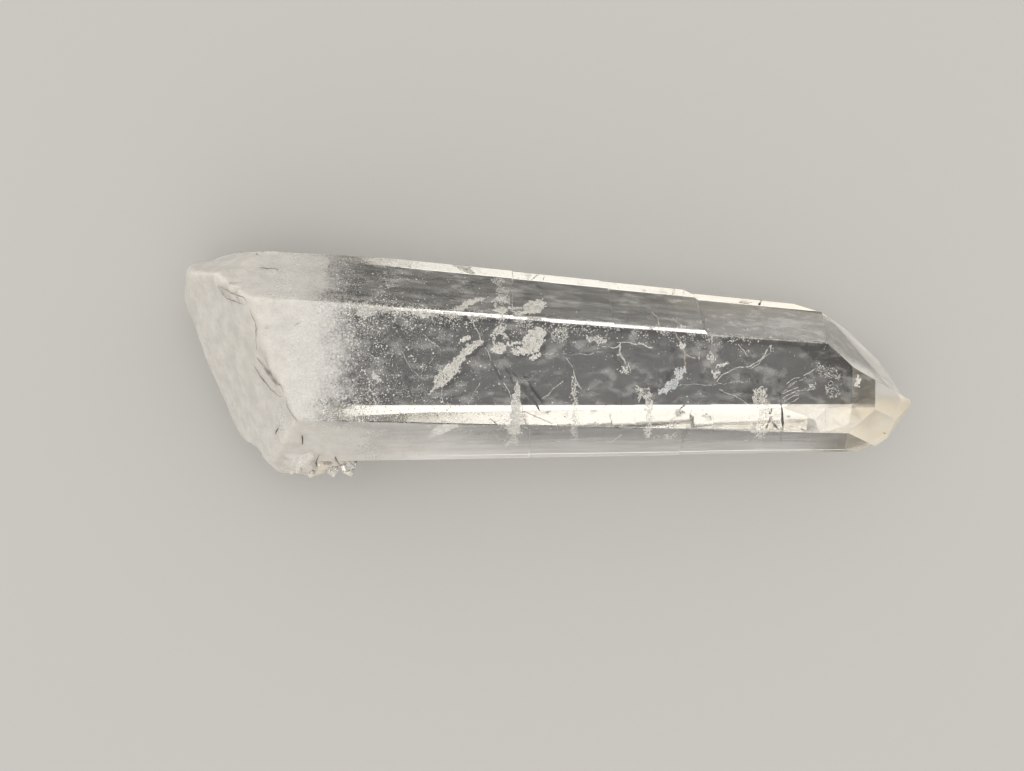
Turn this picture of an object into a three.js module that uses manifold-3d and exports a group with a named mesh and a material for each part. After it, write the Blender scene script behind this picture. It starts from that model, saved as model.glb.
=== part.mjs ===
// A single clear quartz crystal, lying at rest on one of its prism faces.
// Millimetres, +Z up, +X along the crystal from its broken, milky base to its point.
//
// One natural solid: a tapering hexagonal prism with low growth ledges, a point of unequal facets, an
// oblique conchoidal break at the base, and beside it a lumpy overgrowth with a crust of small crystals.
import * as THREE from "three";
import { mergeVertices } from "three/addons/utils/BufferGeometryUtils.js";
import { ImprovedNoise } from "three/addons/math/ImprovedNoise.js";
import Module from "manifold-3d";

const wasm = await Module();
wasm.setup();

const RAD = Math.PI / 180;

// ---- Driving dimensions -------------------------------------------------------------------------

// While it is being built the crystal's own axis runs through (x, AXIS_Y, AXIS_Z), and its lowest prism face
// lies at z = BOTTOM_Z. The finished solid is moved so that the origin is at its bottom centre.
const AXIS_Y = 3.8;
const AXIS_Z = 11.2;
const BOTTOM_Z = -1.3;

// Prism faces. roll: the way the face looks, in degrees round +X from +Y. taper: how far it leans in
// towards the point, in degrees. out: its distance from the axis at x = 0.
const PRISM_FACES = {
  top: { roll: 90, taper: 5.94, out: 11.16 },
  upperLeft: { roll: 31.2, taper: 6.1, out: 11.15 },
  lowerLeft: { roll: -32.4, taper: 3.4, out: 12.1 },
  bottom: { roll: -90, taper: 0, out: AXIS_Z - BOTTOM_Z },
  lowerRight: { roll: -151.1, taper: 0, out: 12.0 },
  upperRight: { roll: 150.6, taper: 1.5, out: 13.72 },
};

// The crystal grew in stages, each thinner and reaching further than the one before, so its faces carry
// low ledges. end: where a stage's ledges lie. inset: how far each face steps in past them.
const STAGES = [
  { end: 2.5, inset: { upperLeft: 0.1, upperRight: 0.06, lowerLeft: 0.08, top: 0.03 } },
  { end: 15.6, inset: { lowerLeft: 0.02, top: 0.06, lowerRight: 0.04, upperLeft: 0.16 } },
  { end: 27.4, inset: { upperRight: 0.1, upperLeft: 0.6, lowerRight: 0.06, lowerLeft: 0.05, top: 0.05 } },
];
const LEDGE_PITCH = 38.2; // slope of a ledge's riser, that of quartz's main pyramid faces
const LEDGE_SPREAD = 5; // the risers of one stage lie within this length of the crystal
const LEDGE_PLACES = [-0.5, 0, 0.5, -0.25, 0.25]; // where in that length, face by face

// The point's facets. roll as above. pitch: how far the facet's normal turns from the prism towards +X.
// meets: the x at which the facet's plane crosses the axis.
const POINT_FACETS = [
  { roll: 90, pitch: 38.2, meets: 60.24 },
  { roll: 118.5, pitch: 26.6, meets: 69.85 },
  { roll: 134, pitch: 48, meets: 64.4 },
  { roll: -12.3, pitch: 23.3, meets: 64.95 },
  { roll: -30.4, pitch: 35.9, meets: 60.3 },
  { roll: -50, pitch: 55, meets: 59.75 },
  { roll: -90, pitch: 57.6, meets: 60.23 },
  { roll: -150, pitch: 38.2, meets: 68.35 },
  { roll: -173, pitch: 30.5, meets: 75.6 },
];
// The large left facet falls away a little more steeply towards the point. Its last layer stops short at
// a steep riser, so the solid is the union of a body closed by the facet and one closed by the riser.
const LEFT_FACET = [
  { roll: 36.8, pitch: 38.3, meets: 53.25 },
  { roll: 36.3, pitch: 40.2, meets: 53.33 },
];
const LEFT_RISER = { roll: 11.2, pitch: 30.2, meets: 50.02 };

// The prism's edges are worn to a narrow flat of this width. Near the base the left edge is worn more.
const EDGE_WEAR = 0.16;
const LEFT_WEAR = { roll: 0, taper: 3.1, out: 14.38 };

// The break at the base, as x over the base's (y, z) plane: the rounded meeting of oblique planes.
const BREAK_PLANES = [
  { x: -51.6, perY: -0.43, perZ: 0.753 }, // the main break, sloping up to the ridge beside the top face
  { x: -42.7, perY: -0.43, perZ: -0.35 }, // its undercut lower part
  { x: -54.3, perY: 0.16, perZ: 0.2 }, // the left end
  { x: -54.6, perY: -1.31, perZ: 0.2 }, // the right end
];
const BREAK_ROUNDING = 0.5;
const BREAK_Y = { from: -19, to: 25, cells: 52 };
const BREAK_Z = { from: -4, to: 29, cells: 38 };
// The left corner beside the break is broken off by a surface of its own.
const CORNER = { normal: [-0.27, 0.9, 0.3], point: [-44.7, 19.45, 9.5], size: 34, cells: 24 };

// Broken surfaces: soft swells, finer ripples, and curved shell ledges round the point where the blow fell.
const SWELL = { height: 0.55, length: 9 };
const RIPPLE = { height: 0.22, length: 2.6 };
const SHELL = { y: -6, z: 21, spacing: 3.1, height: 0.16, waver: 0.5, waverLength: 7 };

// Slivers split off along the ridge between the break and the top face, each a long pointed lens. at: its
// middle. along: the way it runs. up: the way it faced. size: its length, width and height.
const SLIVERS = [
  { at: [-39.6, 13.4, 24.2], along: [0.72, -0.6, -0.1], up: [-0.3, 0.5, 0.8], size: [8.4, 2.6, 1.5] },
  { at: [-35.3, 3.4, 24.2], along: [0.52, -0.85, 0.02], up: [-0.5, -0.2, 0.8], size: [10.5, 2.2, 1.4] },
  { at: [-33.6, -1.6, 24.3], along: [0.5, -0.87, 0.04], up: [-0.3, -0.2, 0.9], size: [8.6, 2.0, 1.3] },
  { at: [-31.0, -6.4, 24.2], along: [0.86, -0.5, 0], up: [-0.2, -0.6, 0.8], size: [6.5, 1.8, 1.2] },
];

// The overgrowth beside the break, as overlapping lumps.
const LUMPS = [
  { centre: [-32.4, -8.3, 9.2], radii: [6.4, 5.4, 7.2] },
  { centre: [-28.0, -8.4, 8.6], radii: [4.6, 3.9, 5.4] },
  { centre: [-31.6, -8.0, 13.0], radii: [4.4, 3.8, 3.8] },
];
const LUMP_NOISE = { height: 1.0, length: 3.4 };
const LUMP_GRAIN = { height: 0.4, length: 1.3 };
const LUMP_DETAIL = 9;

// Small crystals of the crust: where each stands, the way it points, its radius and its length.
const CRUST = [
  { at: [-27.3, -11.3, 10.4], points: [0.1, -1, 0.1], radius: 1.0, length: 2.7 },
  { at: [-28.6, -11.6, 8.6], points: [-0.35, -1, -0.25], radius: 0.8, length: 2.0 },
  { at: [-25.5, -10.9, 9.6], points: [0.3, -1, -0.1], radius: 1.25, length: 3.2 },
  { at: [-24.7, -10.2, 11.6], points: [0.5, -0.85, 0.45], radius: 1.1, length: 2.6 },
  { at: [-26.3, -10.0, 13.0], points: [0.1, -0.75, 0.8], radius: 0.95, length: 1.9 },
  { at: [-28.4, -10.9, 12.6], points: [-0.3, -0.8, 0.7], radius: 0.8, length: 1.8 },
  { at: [-30.2, -12.4, 11.4], points: [-0.15, -1, 0.35], radius: 0.7, length: 1.7 },
  { at: [-26.2, -10.8, 7.4], points: [0.2, -1, -0.5], radius: 0.95, length: 2.0 },
  { at: [-28.2, -11.0, 5.6], points: [-0.1, -0.9, -0.55], radius: 0.85, length: 1.7 },
  { at: [-31.6, -12.0, 14.6], points: [-0.2, -0.7, 0.8], radius: 0.7, length: 1.4 },
  { at: [-24.4, -9.6, 8.6], points: [0.8, -0.8, -0.35], radius: 0.8, length: 1.8 },
  { at: [-30.6, -11.6, 4.6], points: [0, -0.9, -0.4], radius: 0.8, length: 1.6 },
  { at: [-24.2, -9.2, 13.2], points: [0.7, -0.5, 0.7], radius: 0.7, length: 1.5 },
  { at: [-33.0, -12.6, 12.0], points: [-0.3, -0.9, 0.5], radius: 0.6, length: 1.2 },
];
const CRUST_POINT = 0.85; // a small crystal's pyramid is this many radii high
const CRUST_ROOT = 1.2; // how far a small crystal is rooted in what it grows from
const CRUST_TAPER = 0.94; // its radius at the foot of its pyramid, as a share of that at its root

// ---- Solids -------------------------------------------------------------------------------------

const BLANK = 400; // side of the block that stands for a half-space
const MERGE = 1e-4;

// A closed three.js geometry as a solid, after an optional placing.
function solidOf(geometry, placing) {
  const bare = new THREE.BufferGeometry();
  bare.setAttribute("position", geometry.getAttribute("position").clone());
  if (geometry.index) bare.setIndex(geometry.index.clone());
  if (placing) bare.applyMatrix4(placing);
  const merged = mergeVertices(bare, MERGE);
  return new wasm.Manifold(
    new wasm.Mesh({
      numProp: 3,
      vertProperties: new Float32Array(merged.attributes.position.array),
      triVerts: new Uint32Array(merged.index.array),
    }),
  );
}

// A placing that takes +Z to the direction given and the origin to the point given.
function facing(direction, point) {
  const turn = new THREE.Quaternion().setFromUnitVectors(new THREE.Vector3(0, 0, 1), direction);
  return new THREE.Matrix4().compose(point, turn, new THREE.Vector3(1, 1, 1));
}

// Everything on the inner side of the plane through point whose outward normal is given.
function halfSpace({ normal, point }) {
  const block = new THREE.BoxGeometry(BLANK, BLANK, BLANK).translate(0, 0, -BLANK / 2);
  return solidOf(block, facing(normal, point));
}

const united = (solids) => solids.reduce((whole, next) => whole.add(next));
const allInside = (planes) => planes.map(halfSpace).reduce((kept, next) => kept.intersect(next));

function meshOf(name, solid, material) {
  const { vertProperties, triVerts } = solid.getMesh();
  const geometry = new THREE.BufferGeometry();
  geometry.setAttribute("position", new THREE.BufferAttribute(vertProperties, 3));
  geometry.setIndex(new THREE.BufferAttribute(triVerts, 1));
  const mesh = new THREE.Mesh(geometry, material);
  mesh.name = name;
  return mesh;
}

// ---- Uneven surfaces ----------------------------------------------------------------------------

const perlin = new ImprovedNoise();
const bumps = ({ height, length }, p) => height * perlin.noise(p.x / length, p.y / length, p.z / length);

// A ramp that rises and then drops back, once in every spacing, as the ledges of a shell-like break do.
function shellLedges({ y, z, spacing, height, waver, waverLength }, p) {
  const rings = Math.hypot(p.y - y, p.z - z) / spacing;
  const wavered = rings + bumps({ height: waver, length: waverLength }, p);
  return height * (wavered - Math.floor(wavered) - 0.5);
}

const roughness = (p) => bumps(SWELL, p) + bumps(RIPPLE, p) + shellLedges(SHELL, p);

// The largest of the values, with the corners between them rounded off.
function roundedMax(values, rounding) {
  const most = Math.max(...values);
  return most + rounding * Math.log(values.reduce((sum, v) => sum + Math.exp((v - most) / rounding), 0));
}

function breakX(y, z) {
  const planes = BREAK_PLANES.map(({ x, perY, perZ }) => x + perY * y + perZ * z);
  const smooth = roundedMax(planes, BREAK_ROUNDING);
  return smooth + roughness(new THREE.Vector3(smooth, y, z));
}

// A block with the surface raise(x, y) as its lid, reaching thickness below it.
function blockUnder(raise, width, depth, cellsAcross, cellsDeep, thickness) {
  const block = new THREE.BoxGeometry(width, depth, thickness, cellsAcross, cellsDeep, 1);
  block.translate(0, 0, -thickness / 2);
  const places = block.attributes.position;
  for (let i = 0; i < places.count; i++) {
    if (places.getZ(i) > -thickness / 2) places.setZ(i, raise(places.getX(i), places.getY(i)));
  }
  return block;
}

// What lies on the crystal's side of the break. The block is laid so that its lid looks along -X.
function pastTheBreak() {
  const midY = (BREAK_Y.from + BREAK_Y.to) / 2;
  const midZ = (BREAK_Z.from + BREAK_Z.to) / 2;
  const lid = (a, b) => -breakX(midY - b, midZ - a);
  const block = blockUnder(
    lid, BREAK_Z.to - BREAK_Z.from, BREAK_Y.to - BREAK_Y.from, BREAK_Z.cells, BREAK_Y.cells, BLANK,
  );
  const lay = new THREE.Matrix4().makeBasis(
    new THREE.Vector3(0, 0, -1), new THREE.Vector3(0, -1, 0), new THREE.Vector3(-1, 0, 0),
  );
  lay.setPosition(0, midY, midZ);
  return solidOf(block, lay);
}

// What is broken off at the corner: a block whose lid looks in at the crystal.
function pastTheCorner() {
  const inward = new THREE.Vector3(...CORNER.normal).normalize().negate();
  const placing = facing(inward, new THREE.Vector3(...CORNER.point));
  const lid = (a, b) => roughness(new THREE.Vector3(a, b, 0).applyMatrix4(placing));
  const { size, cells } = CORNER;
  return solidOf(blockUnder(lid, size, size, cells, cells, size), placing);
}

// ---- The crystal's flat faces -------------------------------------------------------------------

const axisPoint = (x) => new THREE.Vector3(x, AXIS_Y, AXIS_Z);

// The unit vector that looks out at this roll, turned by pitch towards +X.
function outward(roll, pitch) {
  return new THREE.Vector3(
    Math.sin(pitch * RAD),
    Math.cos(pitch * RAD) * Math.cos(roll * RAD),
    Math.cos(pitch * RAD) * Math.sin(roll * RAD),
  );
}

function prismPlane({ roll, taper, out }, inset = 0) {
  const point = axisPoint(0).addScaledVector(outward(roll, 0), out - inset);
  return { normal: outward(roll, taper), point };
}

const pointPlane = ({ roll, pitch, meets }) => ({ normal: outward(roll, pitch), point: axisPoint(meets) });

// The planes that flatten the edges between neighbouring prism planes, in order round the prism.
function wornEdges(planes) {
  return planes.map((plane, i) => {
    const next = planes[(i + 1) % planes.length];
    const rows = new THREE.Matrix3().set(...plane.normal.toArray(), ...next.normal.toArray(), 1, 0, 0);
    const sums = new THREE.Vector3(plane.normal.dot(plane.point), next.normal.dot(next.point), 0);
    const corner = sums.applyMatrix3(rows.invert());
    const normal = plane.normal.clone().add(next.normal).normalize();
    const depth = (EDGE_WEAR / 2) * Math.tan(plane.normal.angleTo(next.normal) / 2);
    return { normal, point: corner.addScaledVector(normal, -depth) };
  });
}

// One growth stage: the prism, set in by what the ledges before it took off, closed by the planes given.
function stage(insets, endPlanes) {
  const planes = Object.entries(PRISM_FACES).map(([name, face]) => prismPlane(face, insets[name]));
  return allInside([...planes, ...wornEdges(planes), prismPlane(LEFT_WEAR), ...endPlanes]);
}

// The risers that close an early stage: one small pyramid face over each prism face that steps in.
function ledgePlanes({ end, inset }) {
  return Object.keys(inset).map((name, i) => {
    const { roll, taper, out } = PRISM_FACES[name];
    const x = end + LEDGE_SPREAD * LEDGE_PLACES[i];
    const foot = axisPoint(x).addScaledVector(outward(roll, 0), out - x * Math.tan(taper * RAD));
    return { normal: outward(roll, LEDGE_PITCH + taper), point: foot };
  });
}

function grownBody() {
  const insets = {};
  const early = STAGES.map((step) => {
    // Past its ledges a stage is buried in the next, so it ends soon after.
    const cap = { normal: outward(0, 90), point: axisPoint(step.end + LEDGE_SPREAD * 2) };
    const made = stage(insets, [...ledgePlanes(step), cap]);
    for (const [name, by] of Object.entries(step.inset)) insets[name] = (insets[name] ?? 0) + by;
    return made;
  });
  const closing = POINT_FACETS.map(pointPlane);
  const lower = stage(insets, [...closing, ...LEFT_FACET.map(pointPlane)]);
  const upper = stage(insets, [...closing, pointPlane(LEFT_RISER)]);
  return united([...early, lower, upper]);
}

// ---- Base and overgrowth ------------------------------------------------------------------------

// What splits off as one sliver.
function sliver({ at, along, up, size }) {
  const lens = new THREE.OctahedronGeometry(0.5).scale(...size);
  const lengthwise = new THREE.Vector3(...along).normalize();
  const across = new THREE.Vector3(...up).cross(lengthwise).normalize();
  const upright = lengthwise.clone().cross(across);
  return solidOf(lens, new THREE.Matrix4().makeBasis(lengthwise, across, upright).setPosition(...at));
}

// One lump of the overgrowth: an ellipsoid with an uneven skin.
function lump({ centre, radii }) {
  const ball = new THREE.IcosahedronGeometry(1, LUMP_DETAIL).scale(...radii).translate(...centre);
  const places = ball.attributes.position;
  const middle = new THREE.Vector3(...centre);
  const p = new THREE.Vector3();
  for (let i = 0; i < places.count; i++) {
    p.fromBufferAttribute(places, i);
    const out = p.clone().sub(middle).normalize();
    p.addScaledVector(out, bumps(LUMP_NOISE, p) + bumps(LUMP_GRAIN, p));
    places.setXYZ(i, p.x, p.y, p.z);
  }
  return solidOf(ball);
}

// A small six-sided crystal with a pyramid on its end.
function smallCrystal({ at, points, radius, length }) {
  const shoulder = length - radius * CRUST_POINT;
  const profile = [
    new THREE.Vector2(0, -CRUST_ROOT),
    new THREE.Vector2(radius, -CRUST_ROOT),
    new THREE.Vector2(radius * CRUST_TAPER, shoulder),
    new THREE.Vector2(0, length),
  ];
  const turned = new THREE.LatheGeometry(profile, 6).rotateX(Math.PI / 2);
  return solidOf(turned, facing(new THREE.Vector3(...points).normalize(), new THREE.Vector3(...at)));
}

// ---- The whole crystal --------------------------------------------------------------------------

function crystal() {
  const resting = halfSpace({ normal: outward(-90, 0), point: new THREE.Vector3(0, 0, BOTTOM_Z) });
  const grown = united([grownBody(), ...LUMPS.map(lump)]).intersect(resting);
  const brokenOff = united([pastTheCorner(), ...SLIVERS.map(sliver)]);
  const remaining = grown.intersect(pastTheBreak()).subtract(brokenOff);
  return remaining.add(united(CRUST.map(smallCrystal)));
}

const quartz = new THREE.MeshStandardMaterial({ color: 0xe9e4da, roughness: 0.1, metalness: 0 });
const body = meshOf("crystal", crystal(), quartz);

// The origin goes to the middle of the crystal's length and width, at the height of the face it rests on.
body.geometry.computeBoundingBox();
const { min, max } = body.geometry.boundingBox;
body.position.set(-(min.x + max.x) / 2, -(min.y + max.y) / 2, -min.z);

const group = new THREE.Group();
group.add(body);
export default group;
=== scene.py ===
# A quartz crystal lying on a plain pale floor, seen from straight above.
# Shapes are worked out in millimetres in the CAD frame, and become metres when a mesh is made.
# There x runs from the broken base to the point, y is up in the picture, and z rises off the floor.
import functools
import math

import bmesh
import bpy
import numpy as np
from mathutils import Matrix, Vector, noise
from mathutils.bvhtree import BVHTree


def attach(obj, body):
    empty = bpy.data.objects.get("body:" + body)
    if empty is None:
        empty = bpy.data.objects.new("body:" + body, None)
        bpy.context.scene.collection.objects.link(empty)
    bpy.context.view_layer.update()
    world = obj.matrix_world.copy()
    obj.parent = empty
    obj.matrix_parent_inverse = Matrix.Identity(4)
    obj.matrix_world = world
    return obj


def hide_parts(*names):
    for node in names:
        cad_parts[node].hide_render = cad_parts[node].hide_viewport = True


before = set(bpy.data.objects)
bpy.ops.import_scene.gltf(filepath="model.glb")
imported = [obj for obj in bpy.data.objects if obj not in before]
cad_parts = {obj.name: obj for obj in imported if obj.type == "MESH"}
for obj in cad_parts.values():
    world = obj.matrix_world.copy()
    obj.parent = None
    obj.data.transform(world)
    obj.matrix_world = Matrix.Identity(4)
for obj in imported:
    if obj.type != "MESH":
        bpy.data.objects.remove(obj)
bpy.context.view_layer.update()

MM = 0.001
IOR = 1.544  # quartz
rng = np.random.default_rng(11)

# ---- The camera, which the pixel positions below refer to --------------------------------------

IMAGE = (1024, 771)  # the frame's width and height in pixels
FOCAL = 1250.0  # pixels
EYE = Vector((-4.650, -3.228, 201.3))  # mm, looking straight down, with +Y up in the picture
SENSOR = 36.0  # mm


def make_camera():
    data = bpy.data.cameras.new("camera")
    data.sensor_width = SENSOR
    data.lens = FOCAL / IMAGE[0] * SENSOR
    data.clip_start, data.clip_end = 0.005, 20.0  # m
    camera = bpy.data.objects.new("camera", data)
    camera.location = EYE * MM
    bpy.context.scene.collection.objects.link(camera)
    bpy.context.scene.camera = camera


# ---- Meshes ------------------------------------------------------------------------------------

SHARP = 35.0  # degrees, the bend from which an edge looks sharp


def welded(mesh):
    """The mesh's points in mm without repeats, and its triangles as rows of indices."""
    corners = np.array([v.co for v in mesh.vertices], np.float32)
    points, where = np.unique(corners, axis=0, return_inverse=True)
    loops = np.array([p.vertices[:] for p in mesh.polygons])
    return points.astype(float) / MM, where.reshape(-1)[loops]


def face_normals(points, faces):
    """Each face's unit normal, and its area."""
    a, b, c = (points[faces[:, i]] for i in range(3))
    cross = np.cross(b - a, c - a)
    twice_area = np.linalg.norm(cross, axis=1)
    return cross / np.maximum(twice_area, 1e-12)[:, None], twice_area / 2


def edge_table(faces):
    """Each face's three edges as indices into a table of edges, and the table."""
    pairs = np.sort(faces[:, [[0, 1], [1, 2], [2, 0]]].reshape(-1, 2), axis=1)
    table, index = np.unique(pairs, axis=0, return_inverse=True)
    return index.reshape(-1, 3), table


def edge_owners(index):
    """The faces that share each edge, by the edge's number in the table."""
    owners = {}
    for f, edges in enumerate(index):
        for e in edges:
            owners.setdefault(e, []).append(f)
    return owners


def flat_patches(points, faces, angle, area):
    """Which faces belong to a flat patch larger than area.

    Neighbours count as flat when they bend by less than angle, in degrees.
    """
    normals, areas = face_normals(points, faces)
    root = list(range(len(faces)))

    def find(f):
        while root[f] != f:
            root[f] = root[root[f]]
            f = root[f]
        return f

    least = math.cos(math.radians(angle))
    index, _ = edge_table(faces)
    for pair in edge_owners(index).values():
        if len(pair) == 2 and normals[pair[0]] @ normals[pair[1]] > least:
            root[find(pair[0])] = find(pair[1])
    label = np.array([find(f) for f in range(len(faces))])
    total = np.bincount(label, weights=areas, minlength=len(faces))
    return total[label] > area


def split_long_edges(points, faces, tags, longest, reach):
    """Splits edges longer than longest that touch an untagged face or start before x = reach."""
    while True:
        index, table = edge_table(faces)
        length = np.linalg.norm(points[table[:, 0]] - points[table[:, 1]], axis=1)
        near = points[table, 0].min(axis=1) < reach
        near[index[~tags].reshape(-1)] = True
        split = near & (length > longest)
        if not split.any():
            return points, faces, tags
        middle = np.full(len(table), -1)
        middle[split] = len(points) + np.arange(split.sum())
        points = np.vstack([points, points[table[split]].mean(axis=1)])
        new_faces, new_tags = [], []
        for face, edges, tag in zip(faces, middle[index], tags):
            for made in halves(list(face), list(edges), points):
                new_faces.append(made)
                new_tags.append(tag)
        faces, tags = np.array(new_faces), np.array(new_tags)


def halves(face, mids, points):
    """The triangles that one triangle falls into when some of its edges have a middle point."""
    cut = [m >= 0 for m in mids]
    if not any(cut):
        return [face]
    if sum(cut) == 3:
        (a, b, c), (ab, bc, ca) = face, mids
        return [[a, ab, ca], [ab, b, bc], [ca, bc, c], [ab, bc, ca]]
    turn = cut.index(True) if sum(cut) == 1 else (cut.index(False) + 1) % 3
    a, b, c = (face[(turn + i) % 3] for i in range(3))
    ab, bc = mids[turn], mids[(turn + 1) % 3]
    if sum(cut) == 1:
        return [[a, ab, c], [ab, b, c]]
    if np.linalg.norm(points[a] - points[bc]) < np.linalg.norm(points[ab] - points[c]):
        return [[ab, b, bc], [a, ab, bc], [a, bc, c]]
    return [[ab, b, bc], [a, ab, c], [ab, bc, c]]


def joined(parts):
    """Several (points, faces) as one."""
    points, faces, start = [], [], 0
    for p, f in parts:
        points.append(p)
        faces.append(np.asarray(f) + start)
        start += len(p)
    return np.vstack(points), np.vstack(faces)


def make_piece(name, points, faces, material, smooth=False):
    """A mesh object that rides on the crystal's body. points are in mm."""
    mesh = bpy.data.meshes.new(name)
    mesh.from_pydata((np.asarray(points) * MM).tolist(), [], np.asarray(faces).tolist())
    mesh.set_sharp_from_angle(angle=math.radians(SHARP))
    smooth = np.broadcast_to(smooth, len(mesh.polygons)).astype(int)
    mesh.polygons.foreach_set("use_smooth", smooth.tolist())
    mesh.materials.append(material)
    mesh.update()
    piece = bpy.data.objects.new(name, mesh)
    bpy.context.scene.collection.objects.link(piece)
    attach(piece, "root")
    return piece


def fbm(point, scale, octaves=3):
    """Smooth noise between about -1 and 1, with features of about scale mm."""
    return noise.fractal(Vector(point) / scale, 1.0, 2.0, octaves)


# ---- Materials ---------------------------------------------------------------------------------


class Nodes:
    """Short calls for building a node tree."""

    def __init__(self, tree):
        self.tree = tree
        tree.nodes.clear()

    def add(self, kind, inputs=None, **settings):
        node = self.tree.nodes.new(kind)
        for key, value in settings.items():
            setattr(node, key, value)
        for key, value in (inputs or {}).items():
            self.put(node.inputs[key], value)
        return node

    def put(self, socket, value):
        if isinstance(value, bpy.types.NodeSocket):
            self.tree.links.new(value, socket)
        else:
            socket.default_value = value

    def math(self, operation, *values):
        node = self.add("ShaderNodeMath", operation=operation)
        for socket, value in zip(node.inputs, values):
            self.put(socket, value)
        return node.outputs[0]

    def sum(self, *values):
        return functools.reduce(lambda a, b: self.math("ADD", a, b), values)

    def product(self, *values):
        return functools.reduce(lambda a, b: self.math("MULTIPLY", a, b), values)

    def highest(self, *values):
        return functools.reduce(lambda a, b: self.math("MAXIMUM", a, b), values)

    def without(self, value):
        """1 less the value."""
        return self.math("SUBTRACT", 1.0, value)

    def noise(self, vector, scale, detail=2.0, roughness=0.5):
        """Noise with features of about scale mm, mostly between 0.3 and 0.7."""
        inputs = {"Vector": vector, "Scale": 1 / scale, "Detail": detail, "Roughness": roughness}
        return self.add("ShaderNodeTexNoise", inputs).outputs["Fac"]

    def vector(self, operation, a, b):
        return self.add("ShaderNodeVectorMath", {0: a, 1: b}, operation=operation).outputs[0]

    def stretched(self, vector, x, y, z):
        """The vector with its parts multiplied, for noise drawn out along an axis."""
        return self.vector("MULTIPLY", vector, (x, y, z))

    def parts(self, vector):
        """The vector's x, y and z."""
        return self.add("ShaderNodeSeparateXYZ", {"Vector": vector}).outputs

    def steps(self, value, low, high, bottom=0.0, top=1.0):
        """value carried from low..high to bottom..top, smoothly and within those limits."""
        limits = {"From Min": low, "From Max": high, "To Min": bottom, "To Max": top}
        node = self.add(
            "ShaderNodeMapRange", {"Value": value, **limits}, interpolation_type="SMOOTHSTEP"
        )
        return node.outputs[0]

    def mix(self, factor, a, b):
        """A colour between a and b. The node's sockets 6 and 7 are its colours."""
        node = self.add("ShaderNodeMix", {0: factor, 6: a, 7: b}, data_type="RGBA")
        return node.outputs[2]

    def output(self, shader, kind="ShaderNodeOutputMaterial", **others):
        self.add(kind, {"Surface": shader.outputs[0], **others})


def new_material(name):
    material = bpy.data.materials.new(name)
    material.use_nodes = True
    return material, Nodes(material.node_tree)


def millimetres(n):
    """Object coordinates in mm."""
    place = n.add("ShaderNodeTexCoord").outputs["Object"]
    inputs = {"Vector": place, "Scale": 1 / MM}
    return n.add("ShaderNodeVectorMath", inputs, operation="SCALE").outputs[0]


CLEAR = (0.985, 0.98, 0.965, 1)
UNDERSIDE_SHADE = (0.043, 0.043, 0.041, 1)  # painted shade: a near-black tint on the face the crystal rests on, so the floor that shows through it looks as dark as if it lay in shadow
MILKY = (0.47, 0.455, 0.43, 1), (0.56, 0.545, 0.52, 1)
STAINED = (0.69, 0.60, 0.485, 1)
DUST = (0.66, 0.65, 0.625, 1)
IRON_GLASS = (0.97, 0.91, 0.78, 1)
IRON_DUST = (0.70, 0.58, 0.40, 1)
# Painted shade: near-black colour for the steepest of the point's lowest facets
POINT_SHADE = (0.06, 0.05, 0.04, 1)
TINT = (0.93, 0.86, 0.68, 1)

MILKY_FRONT = (-40.0, -22.5)  # mm along x: milky before the first and clear after the second
OVERGROWTH = (-33.0, -16.0, 9.0)  # mm, its middle
OVERGROWTH_SIZE = (5.0, 2.5)  # mm from its middle: none beyond the first, all within the second
RIM_ACROSS = (0.797, 0.603)  # the direction in x and y across the rim of the point's far facets
RIM_AT = (39.2, 39.8)  # mm in that direction
RIPPLE, GRAIN = 0.002, 0.08  # mm, how deep the clear faces and the milky base are marked
POLISH, MATT, GLASSY = 0.012, 0.36, 0.16  # the roughness of clear, milky and overgrown places
RESTING = (0.02, 0.06)  # mm above the lowest point, between which the painted shade on the underside ends
FROM_WITHIN = 0.4  # how much of the milk and dust there is for light that comes from within
GLOW_DEPTH, GLOW = 4, (1.0, 0.9, 0.78)  # mm, how far light spreads in the milky quartz, by colour
TINT_DENSITY = 4.0  # for each m


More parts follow.
